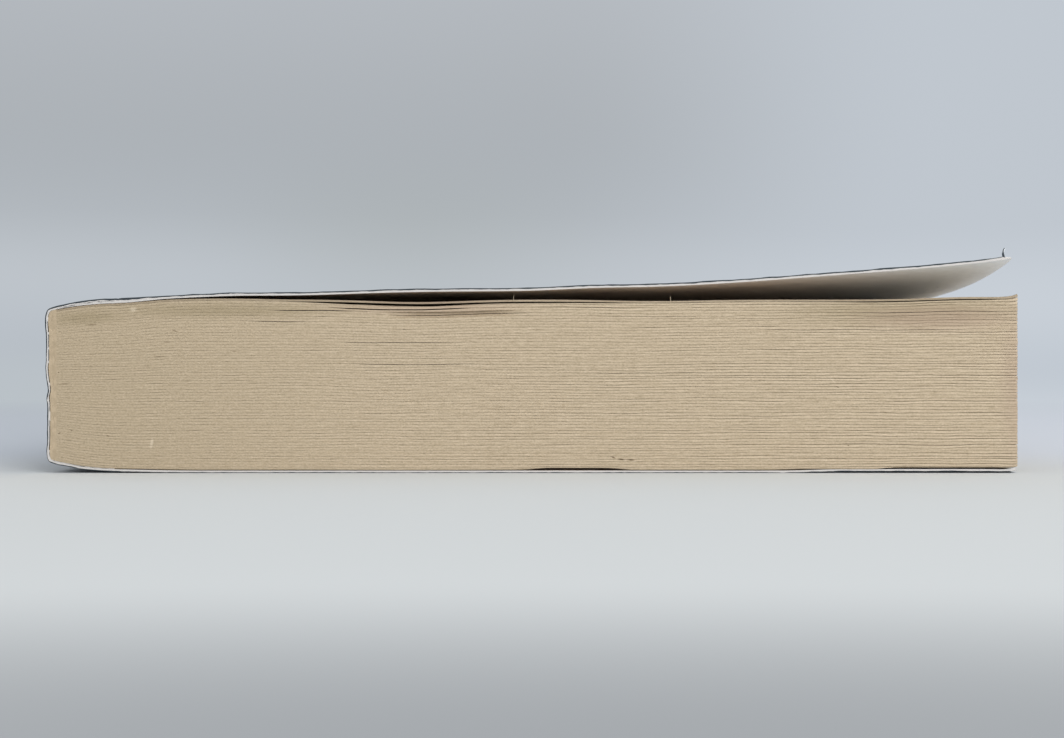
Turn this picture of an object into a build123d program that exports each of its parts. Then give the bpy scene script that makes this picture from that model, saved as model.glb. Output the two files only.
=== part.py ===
from build123d import *
from math import exp, pi, sin, sqrt
import os

# A paperback book that lies on its back cover, with the front cover warped open.
# +X runs from the spine to the fore edge, +Y from the tail of the pages to their head,
# and +Z is up. The origin is the middle of the face that the book rests on.
# All lengths are millimetres.

# Trimmed size, and the thickness of the pressed leaves
page_height = 178.0
book_width = 110.0
leaves_thickness = 19.3

# Cover card, and the glue between it and the leaves
card = 0.26
side_glue = 0.10
spine_glue_depth = 0.90

# The cover is scored this far in from the back of the book. Between the scores and the
# spine the leaves are nipped, so that the cover falls there in two rounded shoulders.
hinge_strip = 7.7
shoulder_drop = 1.44
score_dip = 0.28
dip_run = 10.0
score_gap = 0.05

# The back of the spine: its rounded edges, and the bends that reading has left in it,
# each as a share of the way down the spine and a depth in from the back of the book
spine_inset = 0.25
spine_edge_radius = 0.55
spine_bends = ((0.12, 0.05), (0.26, 0.12), (0.37, 0.0), (0.51, 0.28), (0.56, 0.08), (0.59, 0.27), (0.85, 0.10))

# Warp of the front cover: the lift of its fore edge at the tail and far from it, and the
# belly that it springs up in beside its score
tail_lift = 4.45
far_lift = 1.4
lift_decay = 16.0
lift_power = 2.3
belly = 0.94
cover_pull_in = 0.4

# Worn corners, and the ply that is turned up at the near corner of the front cover: its
# peak stands a little in from the tail, and its back edge is hollow
near_corner_wear = 1.2
corner_wear = 0.8
ply_height = 1.05
ply_length = 2.4
ply_thickness = 0.20
ply_from_edge = 1.4
ply_peak_from_tail = 0.3
ply_hollow = 0.15

# Gaps between the leaves, which show on the three trimmed edges
gap_pitch = 0.32
gap_height = 0.07
gap_depth = 0.5
gap_from_spine = 3.0

# The top leaf has come loose from the stack between the spine and the fore edge
loose_leaf = 0.14
loose_gap = 0.15
loose_depth = 6.0
loose_from_spine = 27.0

# Waves in the top leaves: distance from the spine, reach and height
leaf_waves = ((41.0, 8.0, -0.28), (69.0, 7.0, -0.16), (106.0, 6.0, 0.20))

# How far apart the points and sections lie that the free curves pass through, and how far
# a cutter runs past a face
leaf_step = 5.5
cover_step = 12.5
section_step = 15.0
bend_step = 3.0
past_face = 1.0

spine_x = -book_width / 2
fore_x = book_width / 2
score_x = spine_x + hinge_strip
milled_x = spine_x + card + spine_glue_depth
block_inset = card + side_glue
closed_thickness = leaves_thickness + 2 * block_inset
score_z = closed_thickness - score_dip
shoulder_run = hinge_strip - spine_inset
shoulder_radius = (shoulder_run**2 + shoulder_drop**2) / (2 * shoulder_drop)
tail_y = -page_height / 2


def section_plane(from_tail):
    """The plane across the book at a distance from the tail of the pages."""
    return Plane.XZ.offset(-tail_y - from_tail)


def evenly(start, end, step):
    """Values from start to end, evenly spaced and about a step apart."""
    steps = max(round((end - start) / step), 2)
    return [start + (end - start) * count / steps for count in range(steps + 1)]


def shoulder_fall(x, inset):
    """How far the surface that lies inset below the card's outside has fallen at x."""
    run = max(score_x - x, 0)
    radius = shoulder_radius - inset
    return radius - sqrt(radius**2 - run**2)


def closed_outside(x):
    """Height of the front cover's outside if it lay closed on the leaves."""
    run = min(max((x - score_x) / dip_run, 0), 1)
    return closed_thickness - score_dip * (1 - run) ** 2


def leaves_top(x):
    """Height of the pressed leaves, without their waves."""
    return closed_outside(x) - block_inset - shoulder_fall(x, block_inset)


def leaves_bottom(x):
    """Height of the lowest leaf."""
    return block_inset + shoulder_fall(x, block_inset)


def wave(x):
    """Height of the waves in the top leaves."""
    return sum(height * exp(-(((x - spine_x - centre) / reach) ** 2)) for centre, reach, height in leaf_waves)


def cover_lift(x, from_tail):
    """Lift of the front cover: a curl that grows to the fore edge and the tail, and the belly."""
    across = (x - score_x) / (fore_x - score_x)
    edge_lift = far_lift + (tail_lift - far_lift) * exp(-from_tail / lift_decay)
    return edge_lift * across**lift_power + belly * sin(pi * across) * (1 - across) ** 2


def top_shoulder(inset, end_x):
    """Three points of the upper shoulder, from the score to end_x."""
    return [(x, score_z - inset - shoulder_fall(x, inset)) for x in (score_x, (score_x + end_x) / 2, end_x)]


def bottom_shoulder(inset, end_x):
    """Three points of the lower shoulder, from the score to end_x."""
    return [(x, inset + shoulder_fall(x, inset)) for x in (score_x, (score_x + end_x) / 2, end_x)]


def spine_back(inset, top, bottom):
    """The bends down the back of the spine, between the ends of its two shoulders."""
    drop = top[1] - bottom[1]
    return [(spine_x + inset + depth, top[1] - share * drop) for share, depth in spine_bends]


# Section of all that lies inside a surface of the cover, between the scores and the
# spine: once for the card's outside and once for its inside
with BuildSketch(section_plane(0)) as outside_section:
    with BuildLine():
        back_x = spine_x + spine_inset
        upper = top_shoulder(0, back_x)
        lower = bottom_shoulder(0, back_x)
        ThreePointArc(*upper)
        Polyline(upper[2], *spine_back(0, upper[2], lower[2]), lower[2])
        ThreePointArc(*lower)
        Line(lower[0], upper[0])
    make_face()
    spine_corners = outside_section.vertices().filter_by(lambda corner: corner.X < score_x).sort_by(Axis.Y)
    fillet([spine_corners[0], spine_corners[-1]], spine_edge_radius)

with BuildSketch(section_plane(0)) as inside_section:
    with BuildLine():
        back_x = spine_x + spine_inset + card
        upper = top_shoulder(card, back_x)
        lower = bottom_shoulder(card, back_x)
        ThreePointArc(*upper)
        Polyline(upper[2], *spine_back(card, upper[2], lower[2]), lower[2])
        ThreePointArc(*lower)
        Line(lower[0], upper[0])
    make_face()
    spine_corners = inside_section.vertices().filter_by(lambda corner: corner.X < score_x).sort_by(Axis.Y)
    fillet([spine_corners[0], spine_corners[-1]], spine_edge_radius - card)

# Section of the leaves: milled square at the spine, nipped up to the scores, waved on top
with BuildSketch(section_plane(0)) as leaves_section:
    with BuildLine():
        upper = top_shoulder(block_inset, milled_x)
        lower = bottom_shoulder(block_inset, milled_x)
        waved_top = [(x, leaves_top(x) + wave(x)) for x in evenly(score_x, fore_x, leaf_step)]
        upper[0] = waved_top[0]
        ThreePointArc(*upper)
        Spline(*waved_top)
        Polyline(waved_top[-1], (fore_x, block_inset), lower[0])
        ThreePointArc(*lower)
        Line(lower[2], upper[2])
    make_face()

# The gaps between bundles of leaves, as thin plates that follow the leaves. A core the
# size of the untouched paper is taken out of them, so that they only nick three edges.
with BuildPart() as leaf_gaps:
    with BuildSketch(section_plane(0)):
        gap_count = round(leaves_thickness / gap_pitch)
        bends_x = evenly(spine_x + gap_from_spine, score_x, bend_step)
        bends_x += evenly(score_x, score_x + dip_run, bend_step)[1:]
        for gap in range(1, gap_count):
            share = gap / gap_count
            middle = [(x, leaves_bottom(x) + share * (leaves_top(x) - leaves_bottom(x))) for x in bends_x]
            middle.append((fore_x + past_face, middle[-1][1]))
            with BuildLine():
                Polyline(
                    *[(x, z + gap_height / 2) for x, z in middle],
                    *[(x, z - gap_height / 2) for x, z in reversed(middle)],
                    close=True,
                )
            make_face()
    extrude(amount=-page_height)
    with BuildSketch(Plane.XY):
        with Locations((-gap_depth, 0)):
            Rectangle(book_width, page_height - 2 * gap_depth)
    extrude(amount=closed_thickness, mode=Mode.SUBTRACT)

# The gap under the loose top leaf, which reaches further in
with BuildPart() as loose_leaf_gap:
    with BuildSketch(section_plane(0)):
        with BuildLine():
            run = evenly(spine_x + loose_from_spine, fore_x + past_face, leaf_step)
            roof = [(x, leaves_top(x) + wave(x) - loose_leaf) for x in run]
            floor = [(x, z - loose_gap) for x, z in roof]
            Spline(*roof)
            Line(roof[-1], floor[-1])
            Spline(*floor)
            Line(floor[0], roof[0])
        make_face()
    extrude(amount=-page_height)
    with BuildSketch(Plane.XY):
        with Locations((-loose_depth, 0)):
            Rectangle(book_width, page_height - 2 * loose_depth)
    extrude(amount=closed_thickness, mode=Mode.SUBTRACT)

# The leaves, as one block
with BuildPart() as text_block:
    with BuildSketch(section_plane(0)):
        add(leaves_section.sketch_local)
    extrude(amount=-page_height)
    add(leaf_gaps.part, mode=Mode.SUBTRACT)
    add(loose_leaf_gap.part, mode=Mode.SUBTRACT)

# Hot-melt glue: a thick layer on the milled leaf ends, and a thin one on the outer leaves
# as far as the scores
with BuildPart() as spine_glue:
    with BuildSketch(section_plane(0)):
        add(inside_section.sketch_local)
        add(leaves_section.sketch_local, mode=Mode.SUBTRACT)
    extrude(amount=-page_height)

# The part of the cover card that is glued down: the spine and the two hinge strips
with BuildPart() as spine_cover:
    with BuildSketch(section_plane(0)):
        add(outside_section.sketch_local)
        add(inside_section.sketch_local, mode=Mode.SUBTRACT)
    extrude(amount=-page_height)

# The front cover: a loft through sections that lift less and less from the tail to the
# head, with its two free corners worn round and a ply of the near one turned up
with BuildPart() as front_cover:
    cover_x = evenly(score_x + score_gap, fore_x - cover_pull_in, cover_step)
    for from_tail in evenly(0, page_height, section_step):
        with BuildSketch(section_plane(from_tail)):
            with BuildLine():
                upper = [(x, closed_outside(x) + cover_lift(x, from_tail)) for x in cover_x]
                lower = [(x, z - card) for x, z in upper]
                Spline(*upper)
                Line(upper[-1], lower[-1])
                Spline(*lower)
                Line(lower[0], upper[0])
            make_face()
    loft()
    with BuildSketch():
        for end, wear in ((1, near_corner_wear), (-1, corner_wear)):
            with Locations((cover_x[-1], end * tail_y)):
                Rectangle(2 * wear, 2 * wear)
            with Locations((cover_x[-1] - wear, end * (tail_y + wear))):
                Circle(wear, mode=Mode.SUBTRACT)
    extrude(amount=closed_thickness + 2 * tail_lift, mode=Mode.SUBTRACT)
    ply_x = fore_x - cover_pull_in - ply_from_edge
    ply_z = closed_outside(ply_x) + cover_lift(ply_x, 0) - card / 2
    with BuildSketch(Plane.YZ.offset(ply_x)):
        with BuildLine():
            root = (tail_y + ply_length, ply_z)
            peak = (tail_y + ply_peak_from_tail, ply_z + card / 2 + ply_height)
            Polyline(root, (tail_y, ply_z), peak)
            SagittaArc(peak, root, ply_hollow)
        make_face()
    extrude(amount=ply_thickness)

# The back cover: flat on the table
with BuildPart() as back_cover:
    with BuildSketch() as back_outline:
        with Locations(((score_x + score_gap + fore_x) / 2, 0)):
            Rectangle(fore_x - score_x - score_gap, page_height)
        fillet(back_outline.vertices().group_by(Axis.X)[-1], corner_wear)
    extrude(amount=card)

text_block.part.label = "text_block"
spine_glue.part.label = "spine_glue"
spine_cover.part.label = "spine_cover"
front_cover.part.label = "front_cover"
back_cover.part.label = "back_cover"

os.makedirs("parts", exist_ok=True)
export_step(text_block.part, "parts/text_block.step")
export_step(spine_glue.part, "parts/spine_glue.step")
export_step(spine_cover.part, "parts/spine_cover.step")
export_step(front_cover.part, "parts/front_cover.step")
export_step(back_cover.part, "parts/back_cover.step")
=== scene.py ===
from math import pi

import bpy
import numpy as np
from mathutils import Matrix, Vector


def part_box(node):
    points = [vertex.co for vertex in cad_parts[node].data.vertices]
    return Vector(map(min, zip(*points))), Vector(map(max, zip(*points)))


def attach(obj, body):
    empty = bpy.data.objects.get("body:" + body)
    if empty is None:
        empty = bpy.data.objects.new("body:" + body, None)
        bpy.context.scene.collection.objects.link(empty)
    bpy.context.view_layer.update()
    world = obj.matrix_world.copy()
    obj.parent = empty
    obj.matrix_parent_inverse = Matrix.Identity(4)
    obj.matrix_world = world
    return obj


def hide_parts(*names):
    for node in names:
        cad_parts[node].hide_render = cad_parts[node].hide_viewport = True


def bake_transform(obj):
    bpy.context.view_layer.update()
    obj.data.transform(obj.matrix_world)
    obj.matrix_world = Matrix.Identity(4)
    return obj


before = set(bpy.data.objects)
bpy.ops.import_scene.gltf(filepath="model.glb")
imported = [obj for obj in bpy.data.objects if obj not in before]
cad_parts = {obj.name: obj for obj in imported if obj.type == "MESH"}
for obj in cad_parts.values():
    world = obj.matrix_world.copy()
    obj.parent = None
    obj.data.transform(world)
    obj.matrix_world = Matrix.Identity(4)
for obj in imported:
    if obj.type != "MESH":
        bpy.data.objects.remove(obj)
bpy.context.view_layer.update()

# The leaves: about 190 sheets of bulky groundwood paper, milled at the spine and cut on the
# other three sides. They part in threes, and the fine gaps between them show as lines that
# are short and faint by the spine and long and clear at the fore edge. All in millimetres.
(milled_x, tail_y, leaves_foot), (fore_x, head_y, _) = 1000 * np.array(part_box("text_block"))
(spine_x, _, _), (score_x, _, score_z) = 1000 * np.array(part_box("spine_cover"))
book_length = head_y - tail_y

# The closed book: the cover's dip beyond its score, the falls of the two shoulders at the
# spine, and how the foot rises off the table there
score_dip, dip_run = 0.28, 10
top_drop, foot_drop = 1.2, 0.9
foot_rise, rise_run, rise_power = 0.38, 17, 1.5
stack = score_z + score_dip - 2 * leaves_foot

# Waves of the leaves: distance from the back of the spine, reach, rise and depth. Far from
# the tail a share of each is left.
leaf_waves = ((20, 6, 0.13, 3.5), (42, 7, -0.28, 9), (69, 7, -0.16, 5), (105, 7, 0.31, 3.5))
wave_length, kept_wave = 60, 0.4
# The near free corner: flick of the top leaves, curl of the lowest ones, and their reach
# across, along and through the stack
flick_height, flick_reach = 0.52, (0.9, 4, 0.8)
foot_curl, curl_reach = 0.42, (0.8, 1.5, 0.4)
# Gaps between the lowest leaves and the back cover at the tail: start, end and rise
foot_gaps = ((54, 66, 0.15), (82, 98, 0.04), (94, 110.2, 0.26))
gap_slope, gap_reach = 3, 1.5
# The frayed card's swelling at the tail: height, then start, end and slope along it, and
# reach, and the room that the card itself takes there
swelling, swollen, swollen_reach = 0.2, (0.8, 13.5, 4), 0.6
under_card = 0.05


def shoulder_fall(x, inset, drop):
    """How far a surface that lies inset below the card's outside has bent away at x."""
    radius = ((score_x - spine_x) ** 2 + drop**2) / (2 * drop) - inset
    return radius - np.sqrt(radius**2 - np.maximum(score_x - x, 0) ** 2)


def closed_outside(x):
    """Height of the front cover's outside if it lay closed on the leaves."""
    run = np.clip((x - score_x) / dip_run, 0, 1)
    return score_z + score_dip * (1 - (1 - run) ** 2)


def lower_outside(x):
    """Height of the back cover's outside, which leaves the table just before the spine."""
    return foot_rise * np.clip(1 - (x - spine_x) / rise_run, 0, 1) ** rise_power


def corner_curl(x, y):
    """How far the lowest leaves and the back cover are turned up at the near free corner."""
    return foot_curl * np.exp((x - fore_x) / curl_reach[0] + (tail_y - y) / curl_reach[1])


def edge_window(from_spine, start, end, slope):
    """1 between two distances from the back of the spine, 0 beyond them, with slopes inside."""
    return np.clip(np.minimum(from_spine - start, end - from_spine) / slope, 0, 1)


def foot_lift(x):
    """How far the lowest leaves stand off the back cover at the tail."""
    return sum(rise * edge_window(x - spine_x, start, end, gap_slope) for start, end, rise in foot_gaps)


def card_swelling(x, from_end):
    """How much the frayed card has swollen at the tail beside the spine."""
    return swelling * edge_window(x - spine_x, *swollen) * np.exp(-from_end / swollen_reach)


def leaf_height(x, y, share):
    """Height of the layer that lies at a share of the way up the stack."""
    foot = leaves_foot + lower_outside(x) + shoulder_fall(x, leaves_foot, foot_drop)
    top = closed_outside(x) - leaves_foot - shoulder_fall(x, leaves_foot, top_drop)
    top = top - card_swelling(x, y - tail_y) - under_card * np.exp((tail_y - y) / gap_reach)
    from_top = (1 - share) * stack
    wave = sum(
        rise * np.exp(-(((x - spine_x - at) / reach) ** 2) - from_top / depth)
        for at, reach, rise, depth in leaf_waves
    )
    wave = wave * (kept_wave + (1 - kept_wave) * np.exp((tail_y - y) / wave_length))
    across, along, down = flick_reach
    flick = flick_height * np.exp((x - fore_x) / across + (tail_y - y) / along - from_top / down)
    near_foot = np.exp(-share * stack / curl_reach[2])
    lifted = foot_lift(x) * np.exp((tail_y - y) / gap_reach)
    return foot + share * (top - foot) + wave + flick + (corner_curl(x, y) + lifted) * near_foot


def wander(places, reach):
    """A smooth random value from -1 to 1 at each place, changing over the reach."""
    at = (places - places.min()) / reach
    step = at.astype(int)
    knots = draws.uniform(-1, 1, step.max() + 2)
    part = (at - step) ** 2 * (3 - 2 * (at - step))
    return knots[step] * (1 - part) + knots[step + 1] * part


def wanders(places, parts):
    """The sum of several wanders, each a reach and a size."""
    return sum(size * wander(places, reach) for reach, size in parts)


def from_ends(steps, middle_step):
    """Distances from the tail to the head that crowd at both ends."""
    middle_count = round((book_length - 2 * steps[-1]) / middle_step)
    middle = np.linspace(steps[-1], book_length - steps[-1], middle_count)
    return np.concatenate([steps[:-1], middle, book_length - np.array(steps[-2::-1])])


def add_object(name, data, location=(0, 0, 0)):
    """Puts a mesh, lamp or camera into the scene, at a place in metres."""
    made = bpy.data.objects.new(name, data)
    made.location = location
    bpy.context.scene.collection.objects.link(made)
    return made


def quads(numbers, turned=False):
    """Four-sided faces between the rows and columns of a table of numbers."""
    corners = [numbers[:-1, :-1], numbers[1:, :-1], numbers[1:, 1:], numbers[:-1, 1:]]
    if turned:
        corners.reverse()
    return np.stack([corner.ravel() for corner in corners], axis=1).tolist()


def mesh_piece(name, points, faces, finishes, marks):
    """A mesh from points in millimetres, with a finish per face and named values at its points."""
    mesh = bpy.data.meshes.new(name)
    mesh.from_pydata((points / 1000).tolist(), [], faces)
    for label, values in marks.items():
        kind, field = ("FLOAT", "value") if values.ndim == 1 else ("FLOAT_VECTOR", "vector")
        made = mesh.attributes.new(label, kind, "POINT")
        made.data.foreach_set(field, values.astype(np.float32).ravel())
    mesh.polygons.foreach_set("material_index", np.asarray(finishes, np.int32))
    mesh.shade_smooth()
    mesh.set_sharp_from_angle(angle=sharp_angle)
    return add_object(name, mesh)


# Stations along the cut sides. They crowd at the free corners, where the paper is rubbed.
sharp_angle, corner_rub = 0.6, 0.1
even_x = np.linspace(milled_x, fore_x - 1.2, 102)
leaves_x = np.concatenate([even_x, fore_x - np.array([0.7, 0.3, 0.0])])
leaves_y = tail_y + from_ends([0.0, 0.3, 0.8, 2.0], 2.64)
count_x, count_y = len(leaves_x), len(leaves_y)
ring = [(i, 0) for i in range(count_x)] + [(count_x - 1, j) for j in range(1, count_y)]
ring += [(i, count_y - 1) for i in range(count_x - 2, -1, -1)]
ring = np.array(ring)
ring_x, ring_y = leaves_x[ring[:, 0]], leaves_y[ring[:, 1]]
on_fore, on_tail, on_head = ring_x == fore_x, ring_y == tail_y, ring_y == head_y
outward = np.stack([on_fore, on_head.astype(float) - on_tail, 0 * ring_x], axis=1)
ring_x = ring_x - corner_rub * (on_fore & (on_tail | on_head))
ring_y = ring_y - corner_rub * outward[:, 1] * on_fore
walked = np.concatenate([[0], np.cumsum(np.hypot(np.diff(ring_x), np.diff(ring_y)))])
from_spine = ring_x - spine_x

# Bundles of three leaves, the loose ones on top, and how clearly their lines show
bundle_height, bundle_least, bundle_most = 0.322, 0.9, 1.1
top_leaves = 0.22
glued_run, clear_power = 1.5, 1.3
draws = np.random.default_rng(11)
bundles = draws.uniform(bundle_least, bundle_most, round((stack - top_leaves) / bundle_height))
shares = np.concatenate([[0], np.cumsum(bundles) / bundles.sum() * (1 - top_leaves / stack), [1]])
clearness = np.clip(from_spine / (fore_x - spine_x), 0, 1) ** clear_power
at_spine = np.clip((ring_x - milled_x) / glued_run, 0, 1)

# The fine gap over a bundle: dashes by the spine, and further on a long line with the reach
# and size of its wanders. Its opening and depth are the least and what full strength adds.
dash_strength, dash_reach, dash_gain = 0.4, 0.9, 1.4
line_strength, line_parts = 0.62, ((8.0, 0.3), (2.6, 0.85 - 0.5 * clearness))
weakest_line, strongest_line = 0.55, 1.3
least_opening, more_opening = 0.01, 0.048
least_depth, more_depth = 0.015, 0.16
# Long gaps on the tail, painted dark with shade: start and end from the back of the spine,
# height at the middle, opening and depth
long_gaps = (
    (24.5, 36, 18.3, 0.09, 0.8), (31.5, 49, 18.45, 0.12, 1), (38, 56, 18.05, 0.07, 0.6),
    (22, 30.5, 17.3, 0.07, 0.5), (32, 47, 14.9, 0.06, 0.5), (33, 50.5, 12.1, 0.06, 0.5),
    (54, 68, 18.6, 0.06, 0.5), (60, 76, 11.2, 0.05, 0.4), (80, 104, 16.3, 0.05, 0.4),
    (88, 108.5, 3.3, 0.05, 0.4), (90, 109.8, 18.1, 0.06, 0.5),
)
# The opening from which a long gap is painted fully dark with shade
dark_opening = 0.1
# Leaves that are set back from the tail: start, end, height, how far and slope
set_back = (38, 54, 18.2, 0.55, 4)
# The gap under the loose top leaves: its opening along the tail, on the other two sides its
# mean, reach and size, and from what opening on it is deep and painted dark with shade
loose_at = (26, 29, 34, 44, 50, 57, 64, 68, 87, 93, 106, 108.8)
loose_opening = (0, 0.07, 0.24, 0.28, 0.18, 0.16, 0.1, 0.02, 0.02, 0.12, 0.12, 0)
loose_mean, loose_parts = 0.05, ((12, 0.04),)
loose_depth, deep_from, dark_from = 4, 0.08, 0.07


def boundary_at(middle, height):
    """Number of the bundle whose upper side lies nearest a height on the tail."""
    sides = leaf_height(np.array(spine_x + middle), tail_y, shares[1:-1])
    return int(np.argmin(np.abs(sides - height)))


def gap_lines(number, clear_top):
    """Opening, depth and painted shade along the ring of the gap over one bundle."""
    dashes = dash_strength * np.clip(dash_gain * wander(walked, dash_reach), 0, 1)
    long_line = np.clip(line_strength + wanders(walked, line_parts), 0, 1)
    strength = (1 - clearness) * dashes + clearness * long_line
    strength = strength * draws.uniform(weakest_line, strongest_line) * at_spine
    opening = least_opening + more_opening * strength
    depth = least_depth + more_depth * strength
    dark = 0 * strength
    for start, end, height, wide, deep in long_gaps:
        if boundary_at((start + end) / 2, height) == number:
            window = edge_window(from_spine, start, end, min(gap_slope, (end - start) / 3)) * on_tail
            opening = np.maximum(opening, wide * window)
            depth = np.maximum(depth, deep * window)
            dark = np.maximum(dark, np.clip(wide / dark_opening, 0, 1) * window)
    if clear_top:
        loose = np.interp(from_spine, loose_at, loose_opening)
        loose = np.where(on_tail, loose, loose_mean + wanders(walked, loose_parts))
        opening = np.maximum(opening, loose * at_spine)
        depth = np.maximum(depth, loose_depth * np.clip(loose / deep_from, 0, 1) * at_spine)
        dark = np.clip(loose / dark_from, 0, 1) * at_spine
    return strength, opening, depth, dark


# How far the layers sway up and down together, in rows from foot to top, and how much less
# at the fore edge
sway, sway_reach, sway_rows, steadier = 0.16, 9, 7, 0.6
sways = [wander(walked, sway_reach) for _ in range(sway_rows)]


def swayed(share):
    """How far the layer at a share of the way up lies above its even place along the ring."""
    at = share * (len(sways) - 1)
    row = min(int(at), len(sways) - 2)
    mixed = sways[row] * (1 - at + row) + sways[row + 1] * (at - row)
    return sway * mixed * np.sin(pi * share) ** 0.5 * (1 - steadier * clearness) * at_spine


# Each bundle's face stands out of the solid, unevenly, with a bulge half way up, and its
# upper side wobbles, more at the fore edge
stand_out, uneven_parts, bulge = 0.06, ((9, 0.018), (2.6, 0.01)), 0.012
wobble_parts, wobble_size, more_wobble = ((5, 1), (1.8, 0.7)), 0.025, 0.03
# Painted light and shade of its lips, middle and groove (a highlight across the middle, shade in
# the groove), and their places from its foot to its top
lip_shade, middle_shade, groove_shade = -0.1, 1, -1
row_places = (0.02, 0.5, 0.96, 1)
# Painted shade in the gap under the leaves: how dark, and from what rise on it is so; and how
# much the top edge at the tail is darkened
foot_shade, full_rise, top_shade = 0.8, 0.2, 0.06


def leaf_rows():
    """Rows of points round the block's cut edges from the foot up, with the painted light or
    shade of each point's line, the painted shade it takes from lying in an open gap, and each
    row's height in the stack."""
    rows, line_shades, gap_shades, heights = [], [], [], []
    last = len(shares) - 2
    foot = leaf_height(ring_x, ring_y, 0.0)
    start, end, height, back_by, slope = set_back
    set_back_at = boundary_at((start + end) / 2, height)
    for number in range(last + 1):
        out = (stand_out + wanders(walked, uneven_parts)) * at_spine
        if number in (set_back_at, set_back_at - 1):
            out = out - back_by * edge_window(from_spine, start, end, slope) * on_tail
        strength, opening, depth, dark = gap_lines(number, number == last - 1)
        share = shares[number + 1]
        inner_x, inner_y = ring_x - outward[:, 0] * depth, ring_y - outward[:, 1] * depth
        top, inner = leaf_height(ring_x, ring_y, share), leaf_height(inner_x, inner_y, share)
        if number < last - 1:
            wobble = wanders(walked, wobble_parts)
            wobble = (wobble_size + more_wobble * clearness) * wobble + swayed(share)
            top, inner = top + wobble, inner + wobble
        upper = top if number == last else top - opening
        parts = [
            (foot, out, lip_shade, 0),
            ((foot + upper) / 2, out + bulge * at_spine, middle_shade, 0),
            (upper, out, lip_shade, 0),
        ]
        if number == 0:
            parts[0] = (foot, 0 * out, 0, foot_shade)
            dark = np.clip(foot_lift(ring_x) / full_rise, 0, 1) * on_tail
        if number == last:
            parts[2] = (upper, 0 * out, 0, 0)
        else:
            parts.append((inner - opening / 2, -depth, groove_shade, 1))
        for place, (height, stands, line, gap) in zip(row_places, parts):
            rows.append(np.stack([ring_x, ring_y, height], axis=1) + outward * stands[:, None])
            line_shades.append(line * strength)
            gap_shades.append(np.where(on_tail, top_shade, 0) if number == last else gap * dark)
            heights.append((shares[number] + (share - shares[number]) * place) * stack)
        foot = top
    return np.array(rows), np.array(line_shades), np.array(gap_shades), np.array(heights)


rows, line_shades, gap_shades, heights = leaf_rows()
row_count, ring_count = rows.shape[:2]
ring_numbers = np.arange(row_count * ring_count).reshape(row_count, ring_count).T
leaf_points = [rows.reshape(-1, 3)]
leaf_faces = quads(ring_numbers)
leaf_finishes = [0] * len(leaf_faces)
first_free = row_count * ring_count
sheet_numbers = []
for row, share in ((0, 0.0), (row_count - 1, 1.0)):
    numbers = np.full((count_x, count_y), -1)
    numbers[ring[:, 0], ring[:, 1]] = ring_numbers[:, row]
    new = np.argwhere(numbers < 0)
    numbers[new[:, 0], new[:, 1]] = first_free + np.arange(len(new))
    first_free += len(new)
    x, y = leaves_x[new[:, 0]], leaves_y[new[:, 1]]
    leaf_points.append(np.stack([x, y, leaf_height(x, y, share)], axis=1))
    cap = quads(numbers, turned=row == 0)
    leaf_faces += cap
    leaf_finishes += [1] * len(cap)
    sheet_numbers.append(numbers)
spine_side = list(ring_numbers[0]) + list(sheet_numbers[1][0, 1:-1])
spine_side += list(ring_numbers[-1][::-1]) + list(sheet_numbers[0][0, -2:0:-1])
leaf_faces.append([int(number) for number in spine_side])
leaf_finishes.append(0)
leaf_points = np.concatenate(leaf_points)
layer = np.zeros((len(leaf_points), 3))
layer[:rows[..., 0].size] = np.stack(
    [np.tile(walked, row_count), np.repeat(heights, ring_count), line_shades.ravel()], axis=1
)
gap = np.zeros(len(leaf_points))
gap[:gap_shades.size] = gap_shades.ravel()
leaves = mesh_piece("leaves", leaf_points, leaf_faces, leaf_finishes, {"layer": layer, "gap": gap})


def colour(hex_code):
    """Linear red, green, blue and alpha of an sRGB hex colour."""
    parts = [int(hex_code[at:at + 2], 16) / 255 for at in (1, 3, 5)]
    return [part / 12.92 if part <= 0.04045 else ((part + 0.055) / 1.055) ** 2.4 for part in parts] + [1]


def feed(tree, made, inputs):
    """Gives each input another node's output or a plain value."""
    for socket, value in inputs.items():
        if isinstance(value, bpy.types.NodeSocket):
            tree.links.new(value, made.inputs[socket])
        else:
            made.inputs[socket].default_value = value


def node(tree, kind, inputs=None, **settings):
    """Adds a node with its settings and inputs."""
    made = tree.nodes.new("ShaderNode" + kind)
    for setting, value in settings.items():
        setattr(made, setting, value)
    feed(tree, made, inputs or {})
    return made


def calc(tree, operation, *values):
    """A calculation with sockets or plain numbers."""
    return node(tree, "Math", dict(enumerate(values)), operation=operation).outputs[0]


def ramp(tree, value, start, end, low=0.0, high=1.0, kind="LINEAR"):
    """Runs from low at start to high at end, and is level beyond."""
    inputs = {"Value": value, "From Min": start, "From Max": end, "To Min": low, "To Max": high}
    return node(tree, "MapRange", inputs, interpolation_type=kind).outputs[0]


def mix(tree, share, first, second):
    """A share of the way from one colour to another, each a hex code or a socket."""
    tints = [colour(tint) if isinstance(tint, str) else tint for tint in (first, second)]
    return node(tree, "Mix", {0: share, 6: tints[0], 7: tints[1]}, data_type="RGBA").outputs[2]


def noise(tree, place, per_mm, detail):
    """Soft noise with so many grains to the millimetre."""
    return node(tree, "TexNoise", {"Vector": place, "Scale": per_mm, "Detail": detail}).outputs[0]


def mark(tree, name):
    """The value under a name at the mesh's points."""
    return node(tree, "Attribute", attribute_name=name).outputs["Fac"]


def bump(tree, height, strength, depth):
    """Dents of a depth in millimetres, for a surface's normal."""
    inputs = {"Height": height, "Strength": strength, "Distance": depth / 1000}
    return node(tree, "Bump", inputs).outputs[0]


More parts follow.
